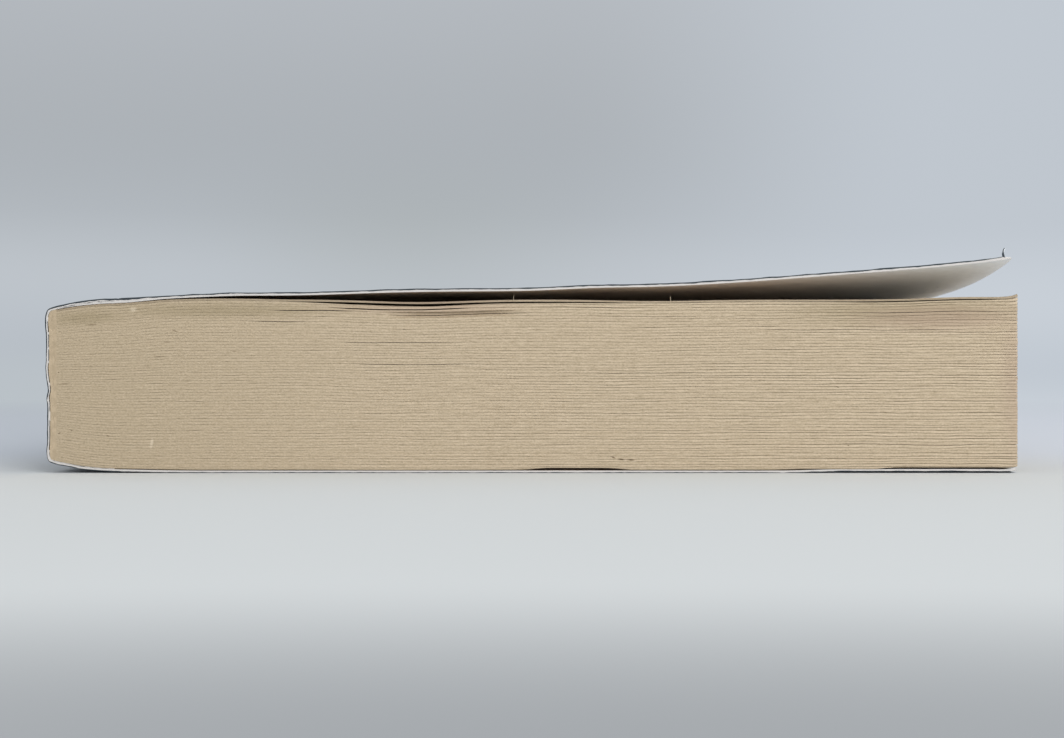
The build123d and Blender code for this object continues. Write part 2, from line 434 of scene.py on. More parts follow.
def soft_oval(tree, place, middle, reach, tilt=0.0, core=0.0):
    """1 in the core of an oval, and from there down to 0 at its edge."""
    inputs = {"Vector": place, "Location": middle, "Rotation": (0, tilt, 0), "Scale": reach}
    local = node(tree, "Mapping", inputs, vector_type="TEXTURE").outputs[0]
    away = node(tree, "VectorMath", {0: local}, operation="LENGTH").outputs["Value"]
    return ramp(tree, away, 1.0, core, kind="SMOOTHSTEP")


def new_material(name):
    """A new material, its tree, its surface shader and the place on the piece in millimetres."""
    material = bpy.data.materials.new(name)
    material.use_nodes = True
    tree = material.node_tree
    inputs = {0: node(tree, "TexCoord").outputs["Object"], "Scale": 1000.0}
    place = node(tree, "VectorMath", inputs, operation="SCALE").outputs[0]
    return material, tree, tree.nodes["Principled BSDF"], place


# Grain, short and long streaks of the cut paper: length, height, and how far each lightens
# and darkens it by the spine and from the middle of the book on
cut_grain = ((0.25, 0.17, 0.6, 0.5), (0.9, 0.19, 0.3, 0.45), (4, 0.3, 0.05, 0.3))
# How strongly the painted highlight and shade of each bundle's line show
painted_line_shading = 0.26
# Marks on the tail: distance from the back of the spine, height, half length, half height
# and tilt. Dark ones are creases and specks, with one dark patch at the foot by the spine,
# pale ones rubbed paper.
dark_marks = (
    (64.2, 1.75, 0.45, 0.12, 0.35), (65.1, 1.53, 0.6, 0.14, 0.12), (66.2, 1.47, 0.6, 0.13, 0.05),
    (12.7, 13.14, 0.8, 0.07, 0.02), (2.1, 10.07, 0.9, 0.06, 0), (5.1, 16.76, 1.1, 0.06, -0.05),
    (14.6, 16.07, 0.5, 0.07, 0.25), (13.7, 14.8, 0.55, 0.06, 0), (21.3, 13.8, 0.6, 0.06, 0.05),
    (1.4, 11.36, 0.1, 0.1, 0), (2.9, 4.8, 0.14, 0.1, 0), (1.5, 4.5, 0.22, 0.08, -0.4),
    (7, 4.2, 0.28, 0.08, 0.35), (89.6, 9.7, 0.22, 0.07, 0.5), (90.8, 3.1, 0.16, 0.09, 0),
    (2.9, 0.98, 1.1, 0.08, 0.2),
)
pale_marks = (
    (9.85, 18.5, 0.6, 0.38, 0), (11.95, 3.36, 0.26, 1, 0.15), (65.5, 1.36, 0.35, 0.08, 0.1),
    (66.6, 1.32, 0.4, 0.08, 0), (89, 10.5, 0.7, 0.1, 0.75),
)
# Darker parts: near the top, partly toning and partly painted shade under the cover's overhang;
# by the spine, painted shade where less light falls; redder by the top, partly the paper's tint
# and partly painted shade under the cover; and redder at the fore edge
toned_and_shaded_ovals = ((4.5, 17.6, 7, 1.3, -0.06), (20, 18.4, 19, 1.3, 0), (97, 18.3, 20, 2.4, 0))
spine_shade_ovals = ((0, 9, 42, 40, 0),)
pinkish_ovals = ((43, 18.8, 15, 1.3, 0), (101, 17.5, 13, 2.1, 0), (111, 10, 4, 14, 0))
tail_marks_and_shade = (
    (spine_shade_ovals, 0.16, "#8D7F62"), (toned_and_shaded_ovals, 0.45, "#8D7F62"), (pinkish_ovals, 0.4, "#A99080"),
    (pale_marks, 0.4, "#EADCC4"), (dark_marks, 0.9, "#5C4A33"),
)
mark_depth, mark_core = 2, 0.1


def cut_paper():
    """Groundwood paper, cut by a guillotine: matt and tan, grainy, with short streaks along
    the leaves, a painted highlight across each bundle and painted shade in its groove and its
    gaps, darker parts near the top that are partly toning and partly painted shade, and painted
    shade by the spine."""
    material, tree, surface, place = new_material("groundwood paper, guillotine cut")
    across = node(tree, "SeparateXYZ", {0: place}).outputs[0]
    layer = node(tree, "Attribute", attribute_name="layer").outputs["Vector"]
    line = node(tree, "SeparateXYZ", {0: layer}).outputs[2]
    shade, patterns = 0.5, []
    for length, height, by_spine, beyond in cut_grain:
        inputs = {"Vector": layer, "Scale": (1 / length, 1 / height, 0)}
        patterns.append(noise(tree, node(tree, "Mapping", inputs).outputs[0], 1.0, 1.0))
        gain = ramp(tree, across, spine_x, 0, by_spine, beyond)
        shade = calc(tree, "MULTIPLY_ADD", calc(tree, "SUBTRACT", patterns[-1], 0.5), gain, shade)
    # Painted highlight across each bundle's middle, painted shade in its groove
    shade = calc(tree, "MULTIPLY_ADD", line, painted_line_shading, shade)
    paper = mix(tree, shade, "#8B7B61", "#DAC8AE")
    # Tail marks, toning and painted shade, each a tint over soft ovals
    for shapes, share, tint in tail_marks_and_shade:
        mask = 0.0
        for at, height, half_length, half_height, tilt in shapes:
            middle, reach = (spine_x + at, tail_y, height), (half_length, mark_depth, half_height)
            mask = calc(tree, "MAXIMUM", mask, soft_oval(tree, place, middle, reach, tilt, mark_core))
        paper = mix(tree, calc(tree, "MULTIPLY", mask, share), paper, tint)
    # Painted shade: a gap is dark from a fifth of its depth inwards
    paper = mix(tree, ramp(tree, mark(tree, "gap"), 0, 0.2, high=0.95), paper, "#24140C")
    grain = bump(tree, patterns[0], 0.6, 0.08)
    inputs = {"Base Color": paper, "Normal": grain, "Roughness": 0.95, "Specular IOR Level": 0.15}
    feed(tree, surface, inputs)
    return material


# How far from the edges of a sheet age has browned it, how steeply and how much
browned, brown_power, brown_share = 12, 2, 0.45


def paper_sheet():
    """The same paper seen on its flat side: a matt cream sheet, browned by age towards its
    edges, with the faint clouding that groundwood shows."""
    material, tree, surface, place = new_material("groundwood paper, calendered sheet")
    fibres = noise(tree, place, 1.4, 2.0)
    both = calc(tree, "ADD", noise(tree, place, 0.09, 4.0), fibres)
    sheet = mix(tree, ramp(tree, both, 0.7, 1.3), "#D4C9B5", "#DAD0BD")
    parts = node(tree, "SeparateXYZ", {0: place}).outputs
    across = ramp(tree, parts[0], fore_x - browned, fore_x)
    along = ramp(tree, calc(tree, "ABSOLUTE", parts[1]), head_y - browned, head_y)
    edge = calc(tree, "POWER", calc(tree, "MAXIMUM", across, along), brown_power)
    sheet = mix(tree, calc(tree, "MULTIPLY", edge, brown_share), sheet, "#B79A70")
    inputs = {"Base Color": sheet, "Normal": bump(tree, fibres, 0.3, 0.03)}
    feed(tree, surface, inputs | {"Roughness": 0.9, "Specular IOR Level": 0.2})
    return material


leaves.data.materials.append(cut_paper())
leaves.data.materials.append(paper_sheet())
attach(leaves, "book_block")
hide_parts("text_block")

# Spine glue: hot-melt adhesive, run onto the milled leaf ends about 0.9 mm thick and a hair
# thick on the outer leaves. It was cut flush with the leaves and has small nicks.
card = 1000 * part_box("back_cover")[1].z
# The bends that reading has left in the spine: share of the way down, and how far in
spine_bends = (
    (0, 0.15), (0.05, -0.12), (0.11, -0.12), (0.15, -0.02), (0.34, -0.01), (0.38, -0.12),
    (0.44, -0.01), (0.5, 0.12), (0.54, 0.22), (0.575, -0.02), (0.61, 0.12), (0.88, 0.1),
    (0.93, 0), (1, 0.22),
)
glue_back = ((0, 0.8), (1, 0.8))
strip_count, back_count = 28, 90
corner_rounds = 3


def wrap_line(inset, bends, rounding):
    """Points round the spine from the lower score to the upper one, at an inset below the
    card's outside: x and height, with the two corners rounded."""
    places, depths = np.transpose(bends)
    depths = spine_x + inset + depths
    foot = np.linspace(score_x, depths[-1], strip_count)
    top = np.linspace(depths[0], score_x, strip_count)
    foot_z = inset + lower_outside(foot) + shoulder_fall(foot, inset, foot_drop)
    top_z = score_z - inset - shoulder_fall(top, inset, top_drop)
    down = np.linspace(1, 0, back_count)[1:-1]
    back_z = top_z[0] - down * (top_z[0] - foot_z[-1])
    line = np.transpose([
        np.concatenate([foot, np.interp(down, places, depths), top]), np.concatenate([foot_z, back_z, top_z])
    ])
    for _ in range(rounding):
        line[1:-1] = (line[:-2] + 2 * line[1:-1] + line[2:]) / 4
    return line


def slab(outside, inside, levels):
    """A closed slab between two tables of points: its points, faces, finishes (0 outside,
    1 inside, 2 cut edge), and the row, column and level of each point."""
    part = np.linspace(0, 1, levels + 1)[None, None, :, None]
    lattice = outside[:, :, None] * (1 - part) + inside[:, :, None] * part
    numbers = np.arange(lattice[..., 0].size).reshape(lattice.shape[:3])
    sides = [
        (numbers[:, :, 0], False, 0), (numbers[:, :, -1], True, 1),
        (numbers[0], False, 2), (numbers[-1], True, 2),
        (numbers[:, 0], True, 2), (numbers[:, -1], False, 2),
    ]
    faces, finishes = [], []
    for side, turned, finish in sides:
        new = quads(side, turned)
        faces += new
        finishes += [finish] * len(new)
    used, faces = np.unique(np.array(faces), return_inverse=True)
    points = lattice.reshape(-1, 3)[used]
    return points, faces.reshape(-1, 4).tolist(), finishes, np.unravel_index(used, numbers.shape)


def along_book(line, distances):
    """A table of points: the line's x and height, repeated at each distance from the tail."""
    table = np.zeros((len(line), len(distances), 3))
    table[:, :, 0], table[:, :, 2] = line[:, :1], line[:, 1:]
    table[:, :, 1] = tail_y + distances
    return table


# Nicks in the cut ends: how far apart, from what wander on, and how deep
nick_reach, nick_from, nick_depth = 1.6, 0.35, 0.16
glue_levels = 8
glue_y = from_ends([0.0, 0.1, 0.4, 1.0], 8.0)
glue_outside = along_book(wrap_line(card, spine_bends, corner_rounds), glue_y)
glue_inside = along_book(wrap_line(leaves_foot, glue_back, 0), glue_y)
glue_points, glue_faces, _, (around, along, level) = slab(glue_outside, glue_inside, glue_levels)
glue_rows = np.arange(len(glue_outside), dtype=float)
nicks = np.array([wander(glue_rows, nick_reach) for _ in range(glue_levels + 1)])
nick = np.clip(nicks[level, around] - nick_from, 0, 1) * nick_depth * np.sin(pi * level / glue_levels)
glue_points[:, 1] += nick * (along == 0) - nick * (along == len(glue_y) - 1)
spine_glue = mesh_piece("hot_melt_spine_glue", glue_points, glue_faces, [0] * len(glue_faces), {})


def hot_melt():
    """Hot-melt adhesive, cut: dull, dusty with paper and hardly darker than it, waxy where
    the knife has passed."""
    material, tree, surface, place = new_material("hot-melt adhesive, cut")
    cloud = noise(tree, place, 1.5, 3.0)
    glue = mix(tree, ramp(tree, cloud, 0.35, 0.65), "#AA987D", "#B9A68A")
    inputs = {"Base Color": glue, "Normal": bump(tree, cloud, 0.5, 0.06), "Roughness": 0.55, "IOR": 1.48}
    feed(tree, surface, inputs)
    return material


spine_glue.data.materials.append(hot_melt())
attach(spine_glue, "book_block")
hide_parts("spine_glue")

# Spine of the cover: solid bleached board, printed and laminated outside, scored, folded
# round the glued block and stuck down as far as the two scores. Reading has bent its back.
spine_y = from_ends([0.0, 0.08, 0.25, 0.5, 0.9, 1.5, 2.4], 2.2)
board_levels = 5
wrap_outside = wrap_line(0, spine_bends, corner_rounds)
run = np.gradient(wrap_outside, axis=0)
inward = np.stack([run[:, 1], -run[:, 0]], axis=1) / np.hypot(run[:, 0], run[:, 1])[:, None]
around_spine = np.concatenate([[0], np.cumsum(np.hypot(*np.diff(wrap_outside, axis=0).T))])
from_score = around_spine[-1] - around_spine
spine_outside = along_book(wrap_outside, spine_y)
spine_inside = along_book(wrap_outside + card * inward, spine_y)
# The laminate stands off the cut ends in low folds (reach, size and lowest), and the knife
# has left a burr inside
crinkle_parts = ((2.2, 0.5, 0), (0.9, 0.35, -0.2))
spine_stand_off, stand_off_reach = 0.07, 0.7
burr, burr_reach = 0.08, 0.1


def crinkle(places):
    """The low folds in which the laminate stands off the board along a cut edge."""
    return sum(size * np.clip(wander(places, reach), least, 1) for reach, size, least in crinkle_parts)


stand_off = spine_stand_off * crinkle(around_spine)
stand_off[[0, -1]] = 0
for distances in (spine_y, spine_y[::-1]):
    fade = np.exp(-distances / stand_off_reach)
    spine_outside[:, :, ::2] -= stand_off[:, None, None] * inward[:, None] * fade[:, None]
    thicker = card_swelling(wrap_outside[:, :1], distances) * (wrap_outside[:, 1:] > score_z / 2)
    thicker = thicker + burr * np.exp(-distances / burr_reach)
    spine_inside[:, :, ::2] += inward[:, None] * thicker[:, :, None]

# Wear: 1 where the film is off and board shows, below 0 where the knife dragged film over.
# Two bends are cracked in places. By the upper score the ends are frayed in one place and
# dragged over in another: distance from the score, width and wear.
bend_heights, crack_wear, crack_rows, crack_parts = (8.2, 9.6), 0.4, 1.1, ((9, 0.55), (3, 0.7))
spine_edge_wear, uneven_wear, end_reach = 0.08, ((1.3, 0.1),), 0.5
frayed_at, frayed_width, frayed_wear, thread_mean, thread_reach = 1.9, 1.6, 0.16, 0.4, 0.5
dragged_at, dragged_width, dragged_wear = 6.8, 1.2, -0.25
row_number = np.arange(len(wrap_outside))[:, None]
spine_wear = 0
for bend in bend_heights:
    off_bend = np.abs(wrap_outside[:, 1] - bend) + score_z * (wrap_outside[:, 0] > spine_x + 1)
    bend_row = int(np.argmin(off_bend))
    cracked = np.prod([np.clip(wander(spine_y, reach) + mean, 0, 1) for reach, mean in crack_parts], axis=0)
    spine_wear = spine_wear + crack_wear * np.exp(-(((row_number - bend_row) / crack_rows) ** 2)) * cracked
end_distance = np.minimum(spine_y, spine_y[::-1])
end_wear = spine_edge_wear + wanders(around_spine, uneven_wear)
frayed = np.clip(thread_mean + wander(around_spine, thread_reach), 0, 1)
end_wear += frayed_wear * np.exp(-(((from_score - frayed_at) / frayed_width) ** 2)) * frayed
end_wear += dragged_wear * np.exp(-(((from_score - dragged_at) / dragged_width) ** 2))
spine_wear = spine_wear + np.exp(-end_distance / end_reach) * end_wear[:, None]


def laminated_board():
    """Outside of the cover: board printed a plain slate and film laminated, so a satin face
    with faint rubbing. Where the film has cracked or chafed off, pale board shows."""
    material, tree, surface, place = new_material("bleached board, printed and film laminated")
    ink = mix(tree, ramp(tree, noise(tree, place, 0.06, 4.0), 0.35, 0.65), "#424E58", "#46525C")
    flakes = noise(tree, place, 1.6, 3.0)
    bare = ramp(tree, calc(tree, "ADD", mark(tree, "wear"), flakes), 0.86, 1.02)
    rough = calc(tree, "MAXIMUM", ramp(tree, flakes, 0, 1, 0.42, 0.54), bare)
    dents = bump(tree, noise(tree, place, 0.35, 2.0), 0.25, 0.03)
    inputs = {"Base Color": mix(tree, bare, ink, "#C9C8C3"), "Roughness": rough, "Normal": dents, "IOR": 1.49}
    feed(tree, surface, inputs)
    return material


# The warm grey of the inside, partly toning and partly painted shade for the dim gap under
# the cover: where it starts to fade, where it ends and how strong it is
tone_and_shade_from, tone_and_shade_to, tone_and_shade_share = 20, 52, 0.95


def bare_board():
    """Inside of the cover: the same board without print, a matt white, which turns a warm grey
    except towards the lifted fore edge: partly toning by the acid of the leaves, partly painted
    shade for the dim gap under the cover."""
    material, tree, surface, place = new_material("bleached board, uncoated")
    fibres = noise(tree, place, 1.1, 3.0)
    both = calc(tree, "ADD", fibres, noise(tree, place, 0.07, 3.0))
    white = mix(tree, ramp(tree, both, 0.75, 1.25), "#EDEFF1", "#F4F6F8")
    # Warm grey away from the lifted fore edge: partly toning, partly painted shade
    tone_and_shade = ramp(tree, mark(tree, "across"), tone_and_shade_to, tone_and_shade_from, high=tone_and_shade_share, kind="SMOOTHSTEP")
    board = mix(tree, tone_and_shade, white, "#D8C8BB")
    inputs = {"Base Color": board, "Normal": bump(tree, fibres, 0.2, 0.03)}
    feed(tree, surface, inputs | {"Roughness": 0.8, "Specular IOR Level": 0.3})
    return material


def cut_board():
    """Cut edge of the cover: the dark line of ink and film over the pale board, uneven
    where the guillotine has dragged the film over or the board has frayed."""
    material, tree, surface, place = new_material("bleached board, cut edge")
    ragged = noise(tree, place, 0.9, 2.0)
    depth = calc(tree, "ADD", mark(tree, "through"), ramp(tree, ragged, 0.3, 0.7, -0.1, 0.1))
    bare = ramp(tree, calc(tree, "ADD", mark(tree, "wear"), depth), 0.36, 0.44)
    edge = mix(tree, bare, "#2C343A", "#C8C4C0")
    feed(tree, surface, {"Base Color": edge, "Normal": bump(tree, ragged, 0.5, 0.06), "Roughness": 0.75})
    return material


board_finishes = (laminated_board(), bare_board(), cut_board())


def board_piece(name, outside, inside, levels, wear):
    """A piece of the cover from its two faces, with its wear at each row and column. Its
    points also carry how far through the board and how far across the book they lie."""
    points, faces, finishes, (around, along, level) = slab(outside, inside, levels)
    marks = {"through": level / levels, "wear": wear[around, along], "across": points[:, 0]}
    piece = mesh_piece(name, points, faces, finishes, marks)
    for finish in board_finishes:
        piece.data.materials.append(finish)
    return piece


spine_wrap = board_piece("spine_of_the_cover", spine_outside, spine_inside, board_levels, spine_wear)
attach(spine_wrap, "book_block")
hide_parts("spine_cover")

# Front cover: the same sheet of board beyond the upper score, which is its hinge. Damp has
# curled it off the leaves, most at the near free corner, where its skin has split off.
cover_end = 1000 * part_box("front_cover")[1].x
# Its lift at the fore edge, by the tail and far from it, and how that grows across the book
tail_lift, far_lift, lift_decay, lift_power = 4.4, 1.4, 16, 2.29
belly_height, belly_at, belly_reach = 0.42, 0.32, 0.14
# Buckles of the tail's edge: distance from the back of the spine, reach and rise
buckles, buckle_decay = ((21, 6.5, 0.21), (62, 5.5, 0.16)), 25
tip_curl, tip_reach, tip_decay = 0.26, 3.2, 20
near_corner_wear, far_corner_wear = 1.2, 0.8
# The board rolls a little beyond a settled strip by the hinge
roll, roll_across, roll_along, settled_from, settled_run = 0.05, 17, 24, 2, 12
groove_depth, groove_at, groove_width = 0.05, 0.45, 0.2
tail_stand_off, fore_stand_off, hinge_run = 0.1, 0.08, 1.5


def cover_height(x, from_tail):
    """Height of the front cover's outside: a curl towards the fore edge and the tail."""
    across = np.clip((x - score_x) / (fore_x - score_x), 0, 1)
    edge_lift = far_lift + (tail_lift - far_lift) * np.exp(-from_tail / lift_decay)
    belly = belly_height * np.exp(-(((across - belly_at) / belly_reach) ** 2))
    buckle = sum(rise * np.exp(-(((x - spine_x - at) / reach) ** 2)) for at, reach, rise in buckles)
    buckle = buckle * np.exp(-from_tail / buckle_decay)
    tip = tip_curl * np.exp((x - cover_end) / tip_reach - from_tail / tip_decay)
    return closed_outside(x) + edge_lift * across**lift_power + belly + buckle + tip


def plate(end, corner_wears, steps, distances):
    """Points of a flat cover from its score to its free edge, with its corners worn round."""
    ends = [
        end - radius + np.sqrt(radius**2 - np.maximum(radius - places, 0) ** 2)
        for places, radius in zip((distances, distances[::-1]), corner_wears)
    ]
    table = np.zeros((len(steps), len(distances), 3))
    table[:, :, 0] = score_x + steps[:, None] * (np.minimum(*ends) - score_x) / (end - score_x)
    table[:, :, 1] = tail_y + distances
    return table


def cover_steps(width):
    """Distances from the score that crowd at the hinge and at the free edge."""
    hinge = np.array([0, 0.12, 0.24, 0.36, 0.5, 0.65, 0.8, 1.0, 1.25, 1.7])
    edge = width - np.array([1.6, 1.25, 1.15, 0.9, 0.6, 0.35, 0.15, 0])
    return np.concatenate([hinge, np.linspace(2.6, width - 2.4, 92), edge])


cover_y = from_ends([0.0, 0.05, 0.12, 0.25, 0.4, 0.6, 0.85, 1.1, 1.5, 2.1, 3.0], 1.9)
front_steps = cover_steps(cover_end - score_x)
front_outside = plate(cover_end, (near_corner_wear, far_corner_wear), front_steps, cover_y)
x, from_tail = front_outside[:, :, 0], front_outside[:, :, 1] - tail_y
from_end = np.minimum(from_tail, book_length - from_tail)
settled = np.clip((x - score_x - settled_from) / settled_run, 0, 1)
rolling = wander(front_steps, roll_across)[:, None] + wander(cover_y, roll_along)
front_outside[:, :, 2] = cover_height(x, from_tail) + roll * rolling * settled
front_inside = front_outside - np.array([0, 0, card])
front_inside[:, :, 2] -= burr * np.exp(-from_end / burr_reach) + card_swelling(x, from_end)
groove = groove_depth * np.exp(-(((front_steps - groove_at) / groove_width) ** 2))[:, None]
off_board = tail_stand_off * crinkle(front_steps)[:, None] * np.exp(-from_end / stand_off_reach)
off_board += fore_stand_off * crinkle(cover_y) * np.exp((x - cover_end) / stand_off_reach)
front_outside[:, :, 2] += off_board * np.clip(front_steps / hinge_run, 0, 1)[:, None] - groove

# The skin of the near corner has split from the board, which is thinner and bare there
ply_from_edge, bare_length, split_ply = 1.2, 2, 0.12
fold_x = cover_end - ply_from_edge
split = (x > fold_x) & (from_tail < bare_length * (1 - (x - fold_x) / (2 * ply_from_edge)))
front_outside[:, :, 2] -= split_ply * split

# Wear: uneven along the ends, worn through along the fore edge and round the two corners
# (wear and reach), and cracked in places along the hinge
end_chafe, chafe_reach, front_uneven = 0.35, 1.4, 0.1
fore_wear, fore_uneven, fore_reach = 0.22, 0.25, 2
near_chafe, far_chafe = (0.5, 2), (0.4, 1.5)
hinge_wear, hinge_width, crack_reach, sound_end = 0.35, 0.3, 6, 3


def edge_wear(table, end, end_wear, chafes):
    """Wear along a cover's three free sides and round its near and its far corner."""
    from_free, from_tail = end - table[:, :, 0], table[:, :, 1] - tail_y
    from_head = book_length - from_tail
    wear = np.exp(-np.minimum(from_tail, from_head) / end_chafe) * end_wear[:, None]
    wear += np.exp(-from_free / end_reach) * (fore_wear + fore_uneven * wander(cover_y, fore_reach))
    for from_corner, (most, reach) in zip((from_tail, from_head), chafes):
        wear += most * np.exp(-np.hypot(from_free, from_corner) / reach)
    return wear


uneven = front_uneven * wander(front_steps, chafe_reach)
front_wear = edge_wear(front_outside, cover_end, uneven, (near_chafe, far_chafe))
cracked = np.clip(wander(cover_y, crack_reach), 0, 1) * np.clip(from_end / sound_end, 0, 1)
front_wear += hinge_wear * np.exp(-(((front_steps - groove_at) / hinge_width) ** 2))[:, None] * cracked
front_wear = np.where(split, 1.0, np.clip(front_wear, -1, 1))
front_cover = board_piece("front_cover_board", front_outside, front_inside, board_levels, front_wear)
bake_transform(front_cover)
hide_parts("front_cover")

# The split ply: the printed skin of the near corner, torn from the board, shrunk to a
# narrow tongue and turned up. It leans in half way up and tapers to its free side and tip.
ply_rise, ply_length, ply_thickness, ply_levels = 1.02, 0.28, 0.14, 4
ply_root, ply_taper, ply_thinning = 0.05, 0.3, 0.1
ply_bow, ply_bow_power, ply_lean, ply_turn = 0.15, 1.4, 0.06, 0.1
ply_wear = -0.7
ply_up = np.linspace(0, 1, 14)
ply_share = np.array([0, 0.15, 0.35, 0.6, 0.8, 1])
ply_back = ply_length * ply_share
ply_top = (1 - ply_taper * ply_share) * ply_rise
ply_outside = np.zeros((len(ply_up), len(ply_back), 3))
ply_foot = cover_height(np.array(fold_x), ply_back) - ply_root
ply_outside[:, :, 0] = (fold_x - ply_bow * np.sin(pi * ply_up**ply_bow_power) + ply_lean * ply_up)[:, None]
ply_outside[:, :, 1] = tail_y + ply_back + ply_turn * (ply_up**2)[:, None] * (1 - ply_share)
ply_outside[:, :, 2] = ply_foot + ply_up[:, None] * (ply_top + ply_root)
ply_inside = ply_outside + np.array([1, 0, 0]) * ply_thickness * (1 - ply_thinning * ply_up)[:, None, None]
ply_wears = np.full(ply_outside.shape[:2], ply_wear)
ply = board_piece("split_ply_of_the_corner", ply_outside, ply_inside, ply_levels, ply_wears)
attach(ply, "front")

# Back cover: the same sheet beyond the lower score. The book lies on it, so it is flat, but
# by the free end of the tail it stands a hair off the table and its corner curls up.
# How high it stands off, and the start, end and slope of that
edge_off_table, stands_off = 0.17, (84, 112, 6)
cover_curl = 0.8
back_edge_wear, back_uneven = 0.14, 0.08
back_near_chafe = (0.7, 0.8)
back_steps = cover_steps(fore_x - score_x)
back_outside = plate(fore_x, (far_corner_wear, far_corner_wear), back_steps, cover_y)[::-1]
x, y = back_outside[:, :, 0], back_outside[:, :, 1]
off_table = edge_off_table * edge_window(x - spine_x, *stands_off) * np.exp((tail_y - y) / gap_reach)
back_outside[:, :, 2] = lower_outside(x) + corner_curl(x, y) * cover_curl + off_table
back_inside = back_outside + np.array([0, 0, card])
uneven = back_edge_wear + back_uneven * wander(back_steps, chafe_reach)[::-1]
back_wear = np.clip(edge_wear(back_outside, fore_x, uneven, (back_near_chafe, far_chafe)), -1, 1)
back_cover = board_piece("back_cover_board", back_outside, back_inside, board_levels, back_wear)
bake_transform(back_cover)
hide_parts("back_cover")

# Paper fibres: a few loose ones stand up from the rubbed edge of the top leaf at the tail.
# Each has a distance from the back of the spine, a length and a lean.
fibre_shapes = ((52.9, 0.55, 0.05), (70.7, 0.58, -0.06), (9.8, 0.3, 0.1))
fibre_radius, fibre_taper, fibre_root, fibre_inset = 0.03, 0.7, 0.03, 0.04
fibre_rings, fibre_sides = 7, 6


def fibre(number, at, length, lean):
    """A tapered, bent thread that stands on the tail edge of the top leaf."""
    up, turns = np.linspace(0, 1, fibre_rings), np.arange(fibre_sides) * 2 * pi / fibre_sides
    x = at + spine_x
    foot = leaf_height(np.array(x), tail_y, 1.0) - fibre_root
    radius = (fibre_radius * (1 - fibre_taper * up))[:, None]
    points = np.zeros((fibre_rings, fibre_sides, 3))
    points[:, :, 0] = (x + lean * up**2)[:, None] + radius * np.cos(turns)
    points[:, :, 1] = tail_y + fibre_inset + radius * np.sin(turns)
    points[:, :, 2] = (foot + length * up)[:, None]
    numbers = np.arange(points[..., 0].size).reshape(points.shape[:2])
    faces = quads(np.concatenate([numbers, numbers[:, :1]], axis=1), turned=True)
    faces += [numbers[0].tolist(), numbers[-1][::-1].tolist()]
    return mesh_piece(f"paper_fibre_{number}", points.reshape(-1, 3), faces, [0] * len(faces), {})


for number, (at, length, lean) in enumerate(fibre_shapes, start=1):
    hair = fibre(number, at, length, lean)
    hair.data.materials.append(leaves.data.materials[1])
    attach(hair, "book_block")

# Floor: a pale matt table top. Towards the viewer it is darkened with painted shade, behind
# the book painted shade makes it darker and bluer, most on the left, and far away it takes on
# the backdrop's grey, so that the two meet without a line.
eye = (0, -263, 11.76)
near_shade_middle, near_shade_reach = (0, -217, 0), (120, 40, 1000)
floor_reach, floor_gap = 6000, 0.02
# The backdrop's greys by the rise of the view, at the left and the right, the one behind the
# viewer, and its dimmer patch of painted shade: middle, reach, share and grey
backdrop_low, backdrop_high, backdrop_turn = -0.06, 0.24, 0.26
backdrop_left = (
    (-0.06, "#BAC2C7"), (0, "#BAC1C7"), (0.02, "#B6BDC5"), (0.06, "#C2C8CE"), (0.1, "#AFB5BB"),
    (0.16, "#ABB0B5"), (0.24, "#B6BBC1"),
)
backdrop_right = (
    (-0.06, "#CDD4DB"), (-0.02, "#C8CFD7"), (0, "#BEC6CF"), (0.03, "#C9D0D8"), (0.06, "#C7CED6"),
    (0.09, "#BEC5CD"), (0.24, "#C1C8D0"),
)
backdrop_behind = "#CBD1D6"
dim_middle, dim_reach, dim_share, dim_grey = (-0.08, 0, 0.085), (0.16, 100, 0.075), 0.28, "#A3A9A6"


def backdrop(tree, direction):
    """The backdrop's grey in a direction: palest low down, darkest half way up, paler on the
    right and dimmed by a patch of painted shade behind the book, and one pale grey behind the viewer."""
    side, ahead, rise = node(tree, "SeparateXYZ", {0: direction}).outputs
    share = ramp(tree, rise, backdrop_low, backdrop_high)
    greys = []
    for stops in (backdrop_left, backdrop_right):
        scale = node(tree, "ValToRGB", {0: share})
        scale.color_ramp.interpolation = "B_SPLINE"
        scale.color_ramp.elements.remove(scale.color_ramp.elements[1])
        scale.color_ramp.elements[0].color = colour(stops[0][1])
        for height, grey in stops[1:]:
            position = (height - backdrop_low) / (backdrop_high - backdrop_low)
            scale.color_ramp.elements.new(position).color = colour(grey)
        greys.append(scale.outputs[0])
    grey = mix(tree, ramp(tree, side, 0.0, backdrop_turn, kind="SMOOTHSTEP"), *greys)
    # A patch of painted shade on the backdrop
    dim = soft_oval(tree, direction, dim_middle, dim_reach)
    grey = mix(tree, calc(tree, "MULTIPLY", dim, dim_share), grey, dim_grey)
    return mix(tree, ramp(tree, ahead, 0.85, 0.2, kind="SMOOTHSTEP"), grey, backdrop_behind)


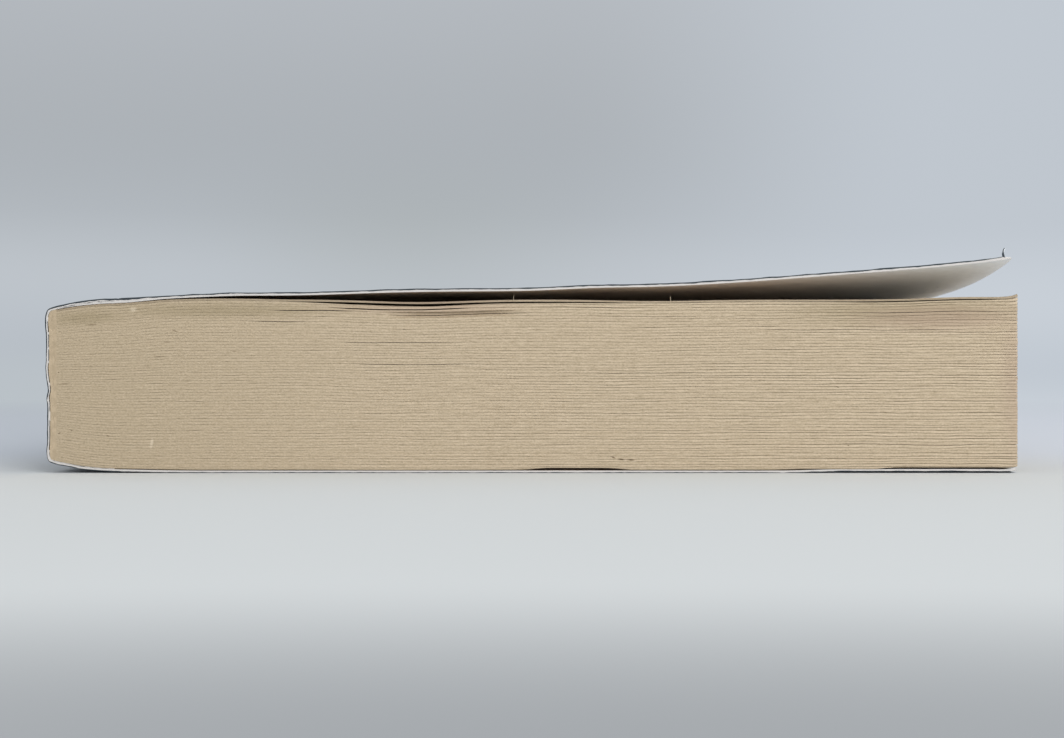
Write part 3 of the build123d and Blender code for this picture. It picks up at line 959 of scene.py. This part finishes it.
def pale_table():
    """A table top in matt pale grey paint with no pattern, darkened with painted shade towards
    the viewer and behind the book, most on the left.
    """
    material, tree, surface, place = new_material("table top, matt paint")
    side, ahead, _ = node(tree, "SeparateXYZ", {0: place}).outputs
    # Painted shade: darker towards the viewer, and darker and bluer behind the book, most on the left
    front = mix(tree, soft_oval(tree, place, near_shade_middle, near_shade_reach), "#DADDDC", "#8E9092")
    back = mix(tree, ramp(tree, side, -100, 100, kind="SMOOTHSTEP"), "#C9CFD6", "#DADFE6")
    paint = mix(tree, ramp(tree, ahead, -105, -40, kind="SMOOTHSTEP"), front, back)
    feed(tree, surface, {"Base Color": paint, "Roughness": 0.9, "Specular IOR Level": 0.1})
    away = node(tree, "VectorMath", {0: place}, operation="LENGTH").outputs["Value"]
    seen = node(tree, "LightPath").outputs["Is Camera Ray"]
    far = calc(tree, "MULTIPLY", ramp(tree, away, 100, 400, kind="SMOOTHSTEP"), seen)
    sight = node(tree, "VectorMath", {0: place, 1: eye}, operation="SUBTRACT").outputs[0]
    sight = node(tree, "VectorMath", {0: sight}, operation="NORMALIZE").outputs[0]
    beside = ramp(tree, ahead, -120, -200, kind="SMOOTHSTEP")
    haze = node(tree, "Emission", {"Color": mix(tree, beside, backdrop(tree, sight), backdrop_behind)})
    mixed = node(tree, "MixShader", {0: far, 1: surface.outputs[0], 2: haze.outputs[0]})
    feed(tree, tree.nodes["Material Output"], {"Surface": mixed.outputs[0]})
    return material


reach = floor_reach / 1000
corners = [(-reach, -reach, 0), (reach, -reach, 0), (reach, reach, 0), (-reach, reach, 0)]
floor_mesh = bpy.data.meshes.new("floor")
floor_mesh.from_pydata(corners, [], [(0, 1, 2, 3)])
floor = add_object("floor", floor_mesh, (0, 0, -floor_gap / 1000))
floor_mesh.materials.append(pale_table())

# Light: an even pale surround, a soft lamp above, one from the right that throws the book's
# shadow to the left, and a low one that shines under the lifted cover as a window would
world = bpy.data.worlds.new("studio")
bpy.context.scene.world = world
world.use_nodes = True
tree = world.node_tree
surround = tree.nodes["Background"]
feed(tree, surround, {"Color": colour("#F4F6FA"), "Strength": 0.7})
direction = node(tree, "TexCoord").outputs["Generated"]
shown = node(tree, "Background", {"Color": backdrop(tree, direction)})
path = node(tree, "LightPath").outputs
direct = calc(tree, "MAXIMUM", path["Is Camera Ray"], path["Is Glossy Ray"])
direct = calc(tree, "MAXIMUM", direct, path["Is Transmission Ray"])
mixed = node(tree, "MixShader", {0: direct, 1: surround.outputs[0], 2: shown.outputs[0]})
feed(tree, tree.nodes["World Output"], {"Surface": mixed.outputs[0]})

# Name, place and sizes in metres, and watts
lamps = (
    ("high_lamp", (0.3, -0.45, 0.75), (0.7, 0.7), 1.5),
    ("side_lamp", (0.33, -0.75, 0.27), (0.3, 0.3), 2.4),
    ("low_lamp", (0.45, -0.85, 0.055), (0.6, 0.1), 0.9),
)
for name, location, sizes, energy in lamps:
    lamp = bpy.data.lights.new(name, "AREA")
    lamp.energy = energy
    lamp.shape = "RECTANGLE"
    lamp.size, lamp.size_y = sizes
    lamp_object = add_object(name, lamp, location)
    lamp_object.rotation_mode = "QUATERNION"
    lamp_object.rotation_quaternion = lamp_object.location.to_track_quat("Z", "Y")

# Camera: level with the middle of the book, 174 mm from the tail, as the photo was taken
camera = bpy.data.cameras.new("camera")
camera.lens = 52.0
camera.sensor_width = 36.0
camera.clip_start = 0.01
camera_object = add_object("camera", camera, [part / 1000 for part in eye])
camera_object.rotation_euler = (pi / 2, 0, 0)
bpy.context.scene.camera = camera_object
bpy.context.scene.view_settings.view_transform = "Standard"

bpy.context.view_layer.update()
